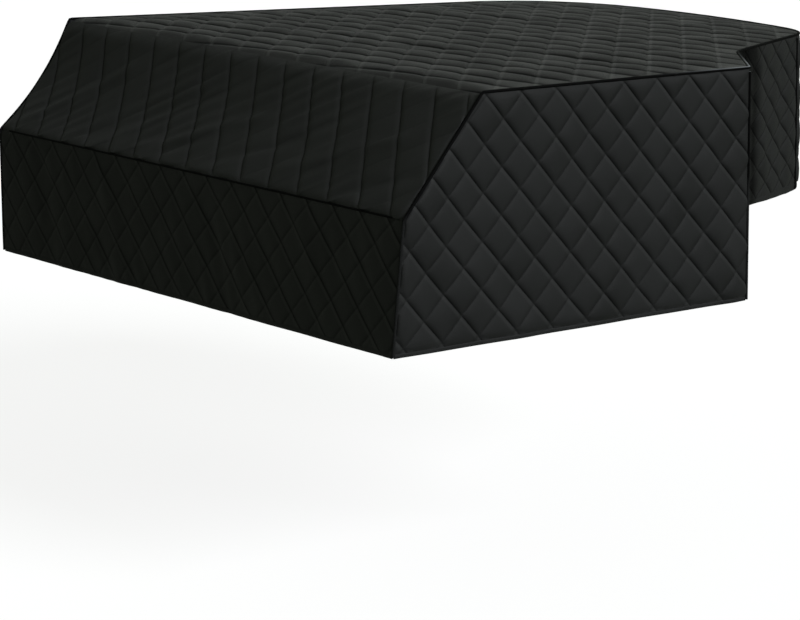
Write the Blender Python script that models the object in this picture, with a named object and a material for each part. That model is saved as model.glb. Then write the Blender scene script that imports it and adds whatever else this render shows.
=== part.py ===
"""Quilted grand piano cover: a fitted, hollow cloth cover, open underneath.

Metres, +Z up. +X is the treble side, -Y the keyboard end and +Y the tail. The origin lies under the
lid panel, on its inner face, where the piano's lid holds the cover up. Every panel is first laid
out flat, as it is cut and quilted, and then hung between its upper and lower edges.
"""

import math

import bmesh
import bpy
from mathutils import Vector
from mathutils.geometry import interpolate_bezier

# Driving dimensions of the hollow, measured on the inner faces of the cloth.
HALF_WIDTH = 0.717
FRONT_Y = -0.800
SLOPE_RUN = 0.180
SLOPE_FALL = 0.226
CHEEK_DEPTH = 0.878
LONG_DROP = 0.490
LID_FRONT_Y = FRONT_Y + SLOPE_RUN
CHEEK_END_Y = FRONT_Y + CHEEK_DEPTH

# The lid's outline behind the treble cheek, as distances from the keyboard end (m).
BEND_X = 0.495
BEND_DEPTH = 1.066
BEND_SOFTNESS = 0.075
TAIL_CORNER_X = 0.310
TAIL_CORNER_DEPTH = 1.445
TAIL_SHOULDER = (0.165, 1.540)
TAIL_CROWN = (-0.420, 1.628)
SPINE_ROUND_DEPTH = 1.335

# What the tail's three curves reach for on their way: x, depth from the keyboard end (m).
TAIL_REACH = {
    "turn": ((0.285, 1.495), (0.230, 1.522)),
    "back": ((-0.040, 1.598), (-0.240, 1.632)),
    "sweep": ((-0.610, 1.624), (-HALF_WIDTH, 1.520)),
}

# Cloth, quilting and cord.
STITCHED = 0.0022
PUFF = 0.0042
HEM = 0.009
CORD_RADIUS = 0.0026
SEAM_INSET = 0.0030
CORD_LIFT = 0.0005
FOLD_GAP = 0.0003
SLOPE_SAG = 0.018
LEAN_REACH = 0.25

# The smallest cell that is filled, as a share of a whole diamond.
SMALLEST_PUFFED_CELL = 0.12

# Where a round cord stops short: below the rim, and before the front corners (m).
CORD_BELOW_RIM = 2.5 * CORD_RADIUS
CORD_BEFORE_CORNER = 3 * CORD_RADIUS

# How finely the curves are drawn, and how close two points count as one (m).
BEND_POINTS = 7
TURN_POINTS = 6
CURVE_POINTS = 12
SAG_STEPS = 10
SHOULDER_STATIONS = (0.25, 0.50, 0.75)
SNAP = 0.0012
SAME_PLACE = 1e-6
FACING_STEP = 0.012
HANGING_STEP = 0.004

# Where the bent side is creased, as shares of the bend's softness past its start.
BEND_FOLDS = (0.0, 0.9, 1.8)

# How far the lid panel stands off level at its corners (m): side, then end.
LID_LIFT = {
    ("bass", "keyboard"): 0.009,
    ("treble", "keyboard"): -0.007,
    ("bass", "tail"): -0.005,
    ("treble", "tail"): 0.006,
}
LID_DEPTH = 1.63

# How far each lower corner has been pulled off its true place (m): x, y, z.
PULLED = {
    "bass foot": (0.000, 0.000, 0.000),
    "treble foot": (0.000, 0.000, -0.003),
    "bass hem": (0.005, 0.003, -0.010),
    "treble hem": (-0.014, -0.009, 0.001),
    "treble cheek hem": (0.000, 0.018, 0.014),
    "bass cheek hem": (0.004, 0.006, 0.004),
}

# The short skirt behind the cheeks: share of the way round from the treble cheek to the bass one,
# how far its hem hangs below the lid, and how far it stands out there.
SKIRT = (
    # share, drop, flare
    (0.00, 0.334, 0.000),
    (0.12, 0.338, 0.003),
    (0.27, 0.350, 0.012),
    (0.45, 0.346, 0.006),
    (0.70, 0.342, 0.004),
    (1.00, 0.338, 0.000),
)

# Stitch lines of each panel: direction from the panel's own level line, pitch and offset of both
# families.
STITCHING = {
    # panel: ((degrees, pitch, offset), (degrees, pitch, offset))
    "top_panel": ((136.0, 0.0704, 0.0015), (10.0, 0.0776, 0.0450)),
    "slope_panel": ((-57.0, 0.0801, 0.0490), (31.5, 0.0551, 0.0250)),
    "front_panel": ((-45.0, 0.0592, 0.0333), (46.5, 0.0613, 0.0200)),
    "cheek_treble": ((-46.5, 0.0634, 0.0066), (47.5, 0.0639, 0.0496)),
    "cheek_bass": ((-45.0, 0.0634, 0.0100), (45.0, 0.0634, 0.0230)),
    "bentside_panel": ((-35.0, 0.0536, 0.0344), (28.0, 0.0536, 0.0372)),
    "tail_panel": ((-45.0, 0.0625, 0.0180), (45.0, 0.0625, 0.0400)),
}

# Which way each cord is pressed out of its seam: x, y, z.
CORD_FACES = {
    "cord_front": (0.0, -1.0, 0.4),
    "cord_cheek_treble": (1.0, 0.4, 0.0),
    "cord_cheek_bass": (-1.0, 0.0, 0.0),
    "cord_tail": (1.0, 0.5, 0.0),
}

# Finishes: colour, roughness.
FINISHES = {
    "quilted cloth": ((0.018, 0.018, 0.020, 1.0), 0.72),
    "welt cord": ((0.008, 0.008, 0.009, 1.0), 0.60),
}


def clear_scene():
    for obj in list(bpy.data.objects):
        bpy.data.objects.remove(obj, do_unlink=True)


def material(name, finish):
    colour, roughness = FINISHES[finish]
    made = bpy.data.materials.new(name)
    made.use_nodes = True
    shader = made.node_tree.nodes["Principled BSDF"]
    shader.inputs["Base Color"].default_value = colour
    shader.inputs["Roughness"].default_value = roughness
    shader.inputs["Metallic"].default_value = 0.0
    made.diffuse_color = colour
    return made


def lid_height(x, y):
    """Height of the lid panel's inner face, which stands a little off level."""
    across = min(max((x + HALF_WIDTH) / (2 * HALF_WIDTH), 0.0), 1.0)
    back = min(max((y - LID_FRONT_Y) / (LID_DEPTH - SLOPE_RUN), 0.0), 1.0)
    keyboard = (1 - across) * LID_LIFT["bass", "keyboard"] + across * LID_LIFT["treble", "keyboard"]
    tail = (1 - across) * LID_LIFT["bass", "tail"] + across * LID_LIFT["treble", "tail"]
    return (1 - back) * keyboard + back * tail


def on_lid(x, y):
    return Vector((x, y, lid_height(x, y)))


def pulled(name, x, y, z):
    return Vector((x, y, z)) + Vector(PULLED[name])


def corners():
    """The named corners of the cover's inner faces."""
    foot = -SLOPE_FALL
    hem = -LONG_DROP
    return {
        "bass brow": on_lid(-HALF_WIDTH, LID_FRONT_Y),
        "treble brow": on_lid(HALF_WIDTH, LID_FRONT_Y),
        "bass foot": pulled("bass foot", -HALF_WIDTH, FRONT_Y, foot),
        "treble foot": pulled("treble foot", HALF_WIDTH, FRONT_Y, foot),
        "bass hem": pulled("bass hem", -HALF_WIDTH, FRONT_Y, hem),
        "treble hem": pulled("treble hem", HALF_WIDTH, FRONT_Y, hem),
        "treble cheek": on_lid(HALF_WIDTH, CHEEK_END_Y),
        "bass cheek": on_lid(-HALF_WIDTH, CHEEK_END_Y),
        "treble cheek hem": pulled("treble cheek hem", HALF_WIDTH, CHEEK_END_Y, hem),
        "bass cheek hem": pulled("bass cheek hem", -HALF_WIDTH, CHEEK_END_Y, hem),
    }


def plan(x, depth):
    """A point of the lid's outline, its depth counted from the keyboard end."""
    return Vector((x, FRONT_Y + depth, 0.0))


def bentside_plan():
    """The inward-bending side, from the treble cheek to the tail's corner."""
    start = plan(HALF_WIDTH, CHEEK_DEPTH)
    bend = plan(BEND_X, BEND_DEPTH)
    end = plan(TAIL_CORNER_X, TAIL_CORNER_DEPTH)
    before = bend + (start - bend).normalized() * BEND_SOFTNESS
    after = bend + (end - bend).normalized() * BEND_SOFTNESS
    return [start, *interpolate_bezier(before, bend, bend, after, BEND_POINTS), end]


def tail_plan():
    """The round tail and the straight spine, from the tail's corner to the bass cheek."""
    corner = plan(TAIL_CORNER_X, TAIL_CORNER_DEPTH)
    shoulder = plan(*TAIL_SHOULDER)
    crown = plan(*TAIL_CROWN)
    spine = plan(-HALF_WIDTH, SPINE_ROUND_DEPTH)
    reach = {name: [plan(*spot) for spot in spots] for name, spots in TAIL_REACH.items()}
    turn = interpolate_bezier(corner, *reach["turn"], shoulder, TURN_POINTS)
    back = interpolate_bezier(shoulder, *reach["back"], crown, CURVE_POINTS)
    sweep = interpolate_bezier(crown, *reach["sweep"], spine, CURVE_POINTS)
    return [*turn, *back[1:], *sweep[1:], plan(-HALF_WIDTH, CHEEK_DEPTH)]


class Run:
    """A polyline read by the distance along it."""

    def __init__(self, points):
        self.points = points
        self.marks = [0.0]
        for a, b in zip(points, points[1:]):
            self.marks.append(self.marks[-1] + (b - a).length)
        self.length = self.marks[-1]

    def at(self, distance):
        for index in range(len(self.points) - 2):
            if distance <= self.marks[index + 1]:
                break
        else:
            index = len(self.points) - 2
        span = self.marks[index + 1] - self.marks[index]
        share = (distance - self.marks[index]) / span
        return self.points[index].lerp(self.points[index + 1], share)

    def outward(self, distance):
        """The level direction that faces away from the hollow."""
        ahead = self.at(min(distance + FACING_STEP, self.length))
        behind = self.at(max(distance - FACING_STEP, 0.0))
        along = (ahead - behind).normalized()
        return Vector((along.y, -along.x, 0.0))


def table_value(share, column):
    """Reads the skirt's table between its rows."""
    for low, high in zip(SKIRT, SKIRT[1:]):
        if share <= high[0]:
            part = (share - low[0]) / (high[0] - low[0])
            return low[column] + part * (high[column] - low[column])
    return SKIRT[-1][column]


def stitched_flat(outline, stitching, hem_level=None, folds=()):
    """The panel as it is cut: its outline, parted along the stitch lines, its hem and its folds."""
    flat = bmesh.new()
    flat.faces.new([flat.verts.new((u, v, 0.0)) for u, v in outline])
    cuts = []
    for degrees, pitch, offset in stitching:
        across = Vector((-math.sin(math.radians(degrees)), math.cos(math.radians(degrees)), 0.0))
        reach = [across.dot(vert.co) for vert in flat.verts]
        first = math.ceil((min(reach) - offset) / pitch)
        last = math.floor((max(reach) - offset) / pitch)
        cuts += [(across * (count * pitch + offset), across) for count in range(first, last + 1)]
    if hem_level is not None:
        cuts.append((Vector((0.0, hem_level, 0.0)), Vector((0.0, 1.0, 0.0))))
    cuts += [(Vector((fold, 0.0, 0.0)), Vector((1.0, 0.0, 0.0))) for fold in folds]
    for point, across in cuts:
        whole = flat.verts[:] + flat.edges[:] + flat.faces[:]
        bmesh.ops.bisect_plane(flat, geom=whole, dist=SNAP, plane_co=point, plane_no=across)
    return flat


def quilt(flat, cell_area, hem_level=None):
    """Gives the flat cloth its thickness and raises the filling between the stitch lines."""
    cells = flat.faces[:]
    raised = bmesh.ops.extrude_face_region(flat, geom=cells + flat.edges[:], use_keep_orig=True)
    upper = [item for item in raised["geom"] if isinstance(item, bmesh.types.BMVert)]
    bmesh.ops.translate(flat, verts=upper, vec=(0.0, 0.0, STITCHED))
    top = [item for item in raised["geom"] if isinstance(item, bmesh.types.BMFace)]
    for face in top:
        share = face.calc_area() / cell_area
        in_hem = hem_level is not None and face.calc_center_median().y < hem_level
        if share < SMALLEST_PUFFED_CELL or in_hem:
            continue
        centre = bmesh.ops.poke(flat, faces=[face])["verts"][0]
        centre.co.z += PUFF * math.sqrt(min(share, 1.0))
    bmesh.ops.recalc_face_normals(flat, faces=flat.faces[:])
    bmesh.ops.triangulate(flat, faces=flat.faces[:])


def hang(flat, surface):
    """Moves every point of the flat cloth onto the surface that it hangs in."""
    for vert in flat.verts:
        u, v, height = vert.co
        along = surface(u + HANGING_STEP, v) - surface(u - HANGING_STEP, v)
        up = surface(u, v + HANGING_STEP) - surface(u, v - HANGING_STEP)
        vert.co = surface(u, v) + along.cross(up).normalized() * height


def finish_panel(name, flat, surface, hem_level=None):
    first, second = STITCHING[name]
    turned = math.radians(first[0] - second[0])
    quilt(flat, first[1] * second[1] / abs(math.sin(turned)), hem_level)
    hang(flat, surface)
    mesh = bpy.data.meshes.new(name)
    flat.to_mesh(mesh)
    flat.free()
    panel = bpy.data.objects.new(name, mesh)
    bpy.context.collection.objects.link(panel)
    mesh.materials.append(material(name, "quilted cloth"))
    return panel


def between(lower, upper, height):
    """The surface ruled from a lower edge to an upper one, both read by the same distance."""

    def surface(u, v):
        return lower(u).lerp(upper(u), (v + height(u)) / height(u))

    return surface


def line(start, end, length):
    return lambda u: start.lerp(end, u / length)


def make_top(rim):
    """The lid panel, cut to the outline of the lid and seamed to the rim cord all round."""
    outline = [point.xy for point in rim]
    inset = []
    for before, here, after in zip(outline[-1:] + outline, outline, outline[1:] + outline[:1]):
        leaving = (after - here).normalized()
        arriving = (here - before).normalized()
        inward = Vector((-leaving.y, leaving.x)) + Vector((-arriving.y, arriving.x))
        inset.append(here + inward * SEAM_INSET / (1 + leaving.dot(arriving)))
    # The fold over the brow has no cord, so the panel runs on to its neighbour there.
    for index, point in enumerate(outline):
        if abs(point.y - LID_FRONT_Y) < SAME_PLACE:
            inset[index].y = LID_FRONT_Y + FOLD_GAP
    flat = stitched_flat(inset, STITCHING["top_panel"])
    return finish_panel("top_panel", flat, on_lid)


def slope_surface(corner):
    """The panel over the keyboard, which hangs in a hollow that is deepest at the bass end."""
    width = 2 * HALF_WIDTH
    height = math.hypot(SLOPE_RUN, SLOPE_FALL)
    inward = Vector((0.0, SLOPE_FALL, -SLOPE_RUN)) / height
    lower = line(corner["bass foot"], corner["treble foot"], width)
    upper = line(corner["bass brow"], corner["treble brow"], width)

    def surface(u, v):
        share = v / height
        sag = SLOPE_SAG * (1 - u / width) * 4 * share * (1 - share)
        return lower(u).lerp(upper(u), share) + inward * sag

    return surface, width, height


def make_slope(corner):
    surface, width, height = slope_surface(corner)
    outline = [
        (SEAM_INSET, SEAM_INSET),
        (width - SEAM_INSET, SEAM_INSET),
        (width - SEAM_INSET, height - FOLD_GAP),
        (SEAM_INSET, height - FOLD_GAP),
    ]
    flat = stitched_flat(outline, STITCHING["slope_panel"])
    return finish_panel("slope_panel", flat, surface)


def make_front(corner):
    width = 2 * HALF_WIDTH
    height = LONG_DROP - SLOPE_FALL
    lower = line(corner["bass hem"], corner["treble hem"], width)
    upper = line(corner["bass foot"], corner["treble foot"], width)
    outline = [
        (SEAM_INSET, -height),
        (width - SEAM_INSET, -height),
        (width - SEAM_INSET, -SEAM_INSET),
        (SEAM_INSET, -SEAM_INSET),
    ]
    hem_level = HEM - height
    flat = stitched_flat(outline, STITCHING["front_panel"], hem_level)
    surface = between(lower, upper, lambda u: height)
    return finish_panel("front_panel", flat, surface, hem_level)


def shoulder_slant(share, sag):
    """How steeply the shoulder's edge rises toward the brow, this share of the way up."""
    bow = 4 * sag * (1 - 2 * share) / math.hypot(SLOPE_RUN, SLOPE_FALL)
    return (SLOPE_FALL - SLOPE_RUN * bow) / (SLOPE_RUN + SLOPE_FALL * bow)


def cheek_outline(toward_tail, sag):
    """A cheek panel lying flat, its level line running round the cover, its top at zero."""
    shares = [SEAM_INSET / SLOPE_RUN]
    if sag:
        shares += SHOULDER_STATIONS
    shoulder = []
    for share in shares:
        below = SEAM_INSET * math.hypot(1.0, shoulder_slant(share, sag))
        shoulder.append((SLOPE_RUN * share, -SLOPE_FALL * (1 - share) - below))
    steepest = shoulder_slant(1.0, sag)
    brow = SLOPE_RUN + SEAM_INSET * (math.hypot(1.0, steepest) - 1) / steepest
    points = [
        (SEAM_INSET, -LONG_DROP),
        (CHEEK_DEPTH - SEAM_INSET, -LONG_DROP),
        (CHEEK_DEPTH - SEAM_INSET, -SEAM_INSET),
        (brow, -SEAM_INSET),
        *reversed(shoulder),
    ]
    if toward_tail:
        return points
    return [(CHEEK_DEPTH - u, v) for u, v in reversed(points)]


def make_cheek(name, side, corner, toward_tail):
    """The long-dropped panel at the side of the keyboard, with its slanted front shoulder."""
    surface_of_slope, width, height = slope_surface(corner)
    edge = width if side == "treble" else 0.0

    def upper(depth):
        if depth < SLOPE_RUN:
            return surface_of_slope(edge, height * depth / SLOPE_RUN)
        share = (depth - SLOPE_RUN) / (CHEEK_DEPTH - SLOPE_RUN)
        return corner[side + " brow"].lerp(corner[side + " cheek"], share)

    def lower(depth):
        return corner[side + " hem"].lerp(corner[side + " cheek hem"], depth / CHEEK_DEPTH)

    def surface(u, v):
        depth = u if toward_tail else CHEEK_DEPTH - u
        drop_to_edge = SLOPE_FALL * max(1 - depth / SLOPE_RUN, 0.0)
        share = (v + LONG_DROP) / (LONG_DROP - drop_to_edge)
        return lower(depth).lerp(upper(depth), share)

    hem_level = HEM - LONG_DROP
    brow = SLOPE_RUN if toward_tail else CHEEK_DEPTH - SLOPE_RUN
    outline = cheek_outline(toward_tail, 0.0 if side == "treble" else SLOPE_SAG)
    flat = stitched_flat(outline, STITCHING[name], hem_level, folds=[brow])
    return finish_panel(name, flat, surface, hem_level)


def seam_lean(corner, side, drop):
    """How far the seam at the back of a cheek has leaned, this far below the lid."""
    top = corner[side + " cheek"]
    hem = corner[side + " cheek hem"]
    lean = (hem - top) * drop / (top.z - hem.z)
    return Vector((lean.x, lean.y, 0.0))


def skirt_surface(run, start, whole, corner):
    """The short skirt below one stretch of the lid's outline."""

    def upper(u):
        spot = run.at(u)
        return on_lid(spot.x, spot.y)

    def lower(u):
        way = start + u
        drop = table_value(way / whole, 1)
        spot = upper(u) + run.outward(u) * table_value(way / whole, 2)
        for side, away in (("treble", way), ("bass", whole - way)):
            spot += seam_lean(corner, side, drop) * max(1 - away / LEAN_REACH, 0.0)
        return spot - Vector((0.0, 0.0, drop))

    return between(lower, upper, lambda u: table_value((start + u) / whole, 1)), lower


def make_skirt(name, run, start, whole, corner, folds=()):
    surface, _ = skirt_surface(run, start, whole, corner)
    stations = [row[0] * whole - start for row in SKIRT]
    inner = [u for u in stations if 2 * SEAM_INSET < u < run.length - 2 * SEAM_INSET]
    hem = [SEAM_INSET, *inner, run.length - SEAM_INSET]
    outline = [(u, -table_value((start + u) / whole, 1)) for u in hem]
    outline += [(run.length - SEAM_INSET, -SEAM_INSET), (SEAM_INSET, -SEAM_INSET)]
    deepest = min(v for u, v in outline)
    shallowest = max(v for u, v in outline[: len(hem)])
    hem_level = (deepest + shallowest) / 2 + HEM
    flat = stitched_flat(outline, STITCHING[name], hem_level, folds)
    return finish_panel(name, flat, surface, hem_level)


def make_cord(name, points):
    """A welt cord sewn into a seam."""
    data = bpy.data.curves.new(name, "CURVE")
    data.dimensions = "3D"
    data.bevel_depth = CORD_RADIUS
    data.bevel_resolution = 1
    data.use_fill_caps = True
    spline = data.splines.new("POLY")
    spline.points.add(len(points) - 1)
    for target, point in zip(spline.points, points):
        target.co = (*point, 1.0)
    data.materials.append(material(name, "welt cord"))
    cord = bpy.data.objects.new(name, data)
    bpy.context.collection.objects.link(cord)
    return cord


def lifted(point, outward):
    return point + Vector(outward).normalized() * CORD_LIFT


def rim_cord_points(corner, rim):
    """The long cord: up the treble corner, round the lid and down the bass corner."""
    surface, width, height = slope_surface(corner)
    treble = Vector((1.0, 0.0, 0.0))
    ahead = Vector((0.0, -1.0, 0.0))
    up = Vector((0.0, 0.0, 1.0))
    clear = Vector((0.0, 0.0, CORD_RADIUS))
    points = [
        lifted(corner["treble hem"] + clear, treble + ahead),
        lifted(corner["treble foot"], treble + ahead),
    ]
    loop = Run(rim[:-1])
    for distance, spot in zip(loop.marks, rim[:-1]):
        points.append(lifted(spot, loop.outward(distance) + up))
    points.append(lifted(corner["bass brow"], up - treble))
    for step in range(SAG_STEPS - 1, 0, -1):
        share = step / SAG_STEPS
        points.append(lifted(surface(0.0, height * share), ahead - treble + up))
    points.append(lifted(corner["bass foot"], ahead - treble))
    points.append(lifted(corner["bass hem"] + clear, ahead - treble))
    return points


def short_cord(name, start, end):
    """A straight cord between two points of a seam, pressed out of it a little."""
    return make_cord(name, [lifted(point, CORD_FACES[name]) for point in (start, end)])


def upright_cord(name, top, foot):
    """A short cord down a corner seam, stopping just under the rim cord."""
    start = top.lerp(foot, CORD_BELOW_RIM / (top - foot).length)
    return short_cord(name, start, foot + Vector((0.0, 0.0, CORD_RADIUS)))


def main():
    clear_scene()
    corner = corners()
    bentside = Run(bentside_plan())
    tail = Run(tail_plan())
    whole = bentside.length + tail.length
    rim = [corner["treble brow"]]
    rim += [on_lid(spot.x, spot.y) for spot in bentside.points]
    rim += [on_lid(spot.x, spot.y) for spot in tail.points[1:]]
    rim.append(corner["bass brow"])

    make_top(rim)
    make_slope(corner)
    make_front(corner)
    make_cheek("cheek_treble", "treble", corner, toward_tail=True)
    make_cheek("cheek_bass", "bass", corner, toward_tail=False)
    bend = (bentside.points[1] - bentside.points[0]).length
    folds = [bend + BEND_SOFTNESS * share for share in BEND_FOLDS]
    make_skirt("bentside_panel", bentside, 0.0, whole, corner, folds)
    make_skirt("tail_panel", tail, bentside.length, whole, corner)

    make_cord("cord_rim", rim_cord_points(corner, rim))
    gap = Vector((CORD_BEFORE_CORNER, 0.0, 0.0))
    short_cord("cord_front", corner["bass foot"] + gap, corner["treble foot"] - gap)
    for side in ("treble", "bass"):
        upright_cord("cord_cheek_" + side, corner[side + " cheek"], corner[side + " cheek hem"])
    _, tail_hem = skirt_surface(tail, bentside.length, whole, corner)
    tail_corner = on_lid(tail.points[0].x, tail.points[0].y)
    upright_cord("cord_tail", tail_corner, tail_hem(0.0))


main()
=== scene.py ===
# %% [markdown]
# A grand piano cover is a hollow of quilted cloth: a lid panel in the piano's own outline, a sloping
# panel over the keyboard, a front, two long cheeks and a shorter skirt round the bent side and the
# tail. This lesson dresses the plain model of the cover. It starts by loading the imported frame, in
# which every panel already has its place.

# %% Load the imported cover
import math

import bmesh
import bpy
import numpy as np
from mathutils import Matrix, Vector
from mathutils.geometry import interpolate_bezier


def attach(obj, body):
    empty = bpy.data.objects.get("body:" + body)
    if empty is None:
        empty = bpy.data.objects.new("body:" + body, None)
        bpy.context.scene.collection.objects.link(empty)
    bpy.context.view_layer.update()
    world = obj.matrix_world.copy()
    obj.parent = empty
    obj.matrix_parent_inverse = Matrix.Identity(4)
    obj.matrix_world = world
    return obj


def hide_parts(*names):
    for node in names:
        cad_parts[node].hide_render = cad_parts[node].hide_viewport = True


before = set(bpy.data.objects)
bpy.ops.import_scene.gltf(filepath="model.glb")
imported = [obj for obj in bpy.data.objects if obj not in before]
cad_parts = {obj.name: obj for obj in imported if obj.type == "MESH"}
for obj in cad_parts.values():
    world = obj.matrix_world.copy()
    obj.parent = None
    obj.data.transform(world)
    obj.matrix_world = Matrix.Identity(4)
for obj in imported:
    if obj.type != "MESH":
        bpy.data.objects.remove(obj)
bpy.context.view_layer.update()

# %% [markdown]
# The camera stands at the treble side, a little above the lid, and looks along a long lens, so that
# the panels keep their true proportions. A long lens far away could also be an orthographic camera,
# but then the tail would not grow smaller as it does here.

# %% Place the camera
def placed(name, data):
    """A new object with these data, linked into the scene."""
    made = bpy.data.objects.new(name, data)
    bpy.context.collection.objects.link(made)
    return made


AZIMUTH, ELEVATION, ROLL = (math.radians(angle) for angle in (51.30, 11.40, 0.96))
camera_data = bpy.data.cameras.new("camera")
camera_data.sensor_width = 36.0
camera_data.lens = 122.1
camera_data.clip_end = 200.0
camera = placed("camera", camera_data)
level = math.cos(ELEVATION)
backward = Vector((math.sin(AZIMUTH) * level, -math.cos(AZIMUTH) * level, math.sin(ELEVATION)))
level_right = Vector((math.cos(AZIMUTH), math.sin(AZIMUTH), 0.0))
level_up = backward.cross(level_right)
right = level_right * math.cos(ROLL) + level_up * math.sin(ROLL)
up = level_up * math.cos(ROLL) - level_right * math.sin(ROLL)
facing = Matrix((right, up, backward)).transposed().to_4x4()
camera.matrix_world = Matrix.Translation((4.516, -3.849, 0.587)) @ facing
bpy.context.scene.camera = camera
print("camera", [round(value, 3) for value in camera.location])

# %% [markdown]
# The floor is one large pale disc, a metre below the lid. It glows a little, as a lit studio floor
# does, so that the shadow on it stays faint. It throws no light back at the dark cloth.

# %% Lay the floor
FLOOR_LEVEL = -1.026
floor_shape = bmesh.new()
bmesh.ops.create_circle(floor_shape, cap_ends=True, segments=96, radius=70.0)
bmesh.ops.translate(floor_shape, verts=floor_shape.verts[:], vec=(0.0, 0.0, FLOOR_LEVEL))
floor_mesh = bpy.data.meshes.new("floor")
floor_shape.to_mesh(floor_mesh)
floor_shape.free()
floor = placed("floor", floor_mesh)
floor.visible_diffuse = False
floor.visible_glossy = False

pale = bpy.data.materials.new("pale_floor")
pale.use_nodes = True
pale_shader = pale.node_tree.nodes["Principled BSDF"]
pale_shader.inputs["Roughness"].default_value = 0.9
pale_noise = pale.node_tree.nodes.new("ShaderNodeTexNoise")
pale_noise.inputs["Scale"].default_value = 0.4
pale_tone = pale.node_tree.nodes.new("ShaderNodeMapRange")
pale_tone.inputs["To Min"].default_value = 0.24
pale_tone.inputs["To Max"].default_value = 0.26
pale_shader.inputs["Emission Color"].default_value = (1.0, 1.0, 1.0, 1.0)
pale_shader.inputs["Emission Strength"].default_value = 0.85
pale_place = pale.node_tree.nodes.new("ShaderNodeTexCoord")
pale.node_tree.links.new(pale_place.outputs["Object"], pale_noise.inputs["Vector"])
pale.node_tree.links.new(pale_noise.outputs["Fac"], pale_tone.inputs["Value"])
pale.node_tree.links.new(pale_tone.outputs["Result"], pale_shader.inputs["Base Color"])
floor_mesh.materials.append(pale)
print("floor", floor_mesh.name, round(FLOOR_LEVEL, 3))

# %% [markdown]
# One large soft light stands at the treble side. It rakes across the cheek from above and a little
# from the tail, which, with the shade painted darker in one family's grooves, makes one family of
# stitch lines look so much darker than the other.
# A second one stands behind the bass side and only reaches the lid, where it picks out the rows of
# diamonds. A dim sky fills the keyboard side, which stays nearly black.

# %% Light the room
LIGHTS = {
    # name: direction it comes from, strength, width in degrees, colour
    "key": ((0.70, 0.16, 0.44), 2.5, 24.0, (0.94, 0.97, 1.0)),
    "behind": ((-0.70, 0.64, 0.34), 0.16, 24.0, (0.95, 1.0, 0.96)),
}
for name, (direction, strength, width, tint) in LIGHTS.items():
    light_data = bpy.data.lights.new(name, "SUN")
    light_data.energy = strength
    light_data.angle = math.radians(width)
    light_data.color = tint
    light = placed(name, light_data)
    light.rotation_euler = Vector(direction).to_track_quat("Z", "Y").to_euler()
    light.location = Vector(direction) * 6.0

sky = bpy.data.worlds.new("soft_sky")
sky.use_nodes = True
sky.node_tree.nodes["Background"].inputs["Color"].default_value = (0.90, 1.0, 0.82, 1.0)
sky.node_tree.nodes["Background"].inputs["Strength"].default_value = 0.185
bpy.context.scene.world = sky
bpy.context.scene.view_settings.view_transform = "Standard"
print("lights", list(LIGHTS), sky.name)

# %% [markdown]
# The cover's sizes are the maker's own: half the width over the keyboard, how far the slope runs
# and falls, how deep the cheeks are and how far they hang, and the lid's outline behind them. They
# are the same numbers as in the plain model, so every sheet lies where its solid does.

# %% Write down the sizes
HALF_WIDTH = 0.717
WIDTH = 2 * HALF_WIDTH
FRONT_Y = -0.800
SLOPE_RUN = 0.180
SLOPE_FALL = 0.226
SLOPE_HEIGHT = math.hypot(SLOPE_RUN, SLOPE_FALL)
CHEEK_DEPTH = 0.878
LONG_DROP = 0.490
LID_FRONT_Y = FRONT_Y + SLOPE_RUN
CHEEK_END_Y = FRONT_Y + CHEEK_DEPTH
LID_DEPTH = 1.63
SLOPE_SAG = 0.018
LEAN_REACH = 0.25
STITCHED = 0.0022
CORD_RADIUS = 0.0026
SEAM_INSET = 0.0012
CORD_OUTSIDE = 0.0031
CORD_PROUD = 0.0024
FRONT_CORD = 0.0021
FRONT_INSET = 0.0012
HEM = 0.009

LID_LIFT = {
    # end of the lid: how far it lies off level at the bass and at the treble side
    "keyboard": (0.009, -0.007),
    "tail": (-0.005, 0.006),
}


def lid_height(x, y):
    """The lid's inner face, which stands a little off level."""
    across = np.clip((x + HALF_WIDTH) / WIDTH, 0.0, 1.0)
    back = np.clip((y - LID_FRONT_Y) / (LID_DEPTH - SLOPE_RUN), 0.0, 1.0)
    keyboard, tail = ((1 - across) * bass + across * treble for bass, treble in LID_LIFT.values())
    return (1 - back) * keyboard + back * tail


def on_lid(x, y):
    x = np.asarray(x, float)
    y = np.asarray(y, float)
    return np.stack([x, y, lid_height(x, y)], axis=-1)


CORNER = {
    "bass brow": on_lid(-HALF_WIDTH, LID_FRONT_Y),
    "treble brow": on_lid(HALF_WIDTH, LID_FRONT_Y),
    "bass foot": np.array((-HALF_WIDTH, FRONT_Y, -SLOPE_FALL)),
    "treble foot": np.array((HALF_WIDTH, FRONT_Y, -SLOPE_FALL - 0.003)),
    "bass hem": np.array((-HALF_WIDTH + 0.005, FRONT_Y + 0.003, -LONG_DROP - 0.010)),
    "treble hem": np.array((HALF_WIDTH - 0.014, FRONT_Y - 0.009, -LONG_DROP + 0.001)),
    "bass cheek": on_lid(-HALF_WIDTH, CHEEK_END_Y),
    "treble cheek": on_lid(HALF_WIDTH, CHEEK_END_Y),
    "bass cheek hem": np.array((-HALF_WIDTH + 0.004, CHEEK_END_Y + 0.006, -LONG_DROP + 0.004)),
    "treble cheek hem": np.array((HALF_WIDTH, CHEEK_END_Y + 0.018, -LONG_DROP + 0.014)),
}
print("corners", len(CORNER))

# %% [markdown]
# A seam is a line in space. Reading it by the distance along it lets a flat panel be measured out
# on it with a tape, as at a cutting table. The lid's outline is drawn once with soft curves: straight
# from the cheek to the bend, round the tail, and straight back along the bass side.

# %% Draw the lid's outline
FACING_STEP = 0.012
BEND_REACH = 0.075
BEND_POINTS, TURN_POINTS, CURVE_POINTS = 19, 16, 30


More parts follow.
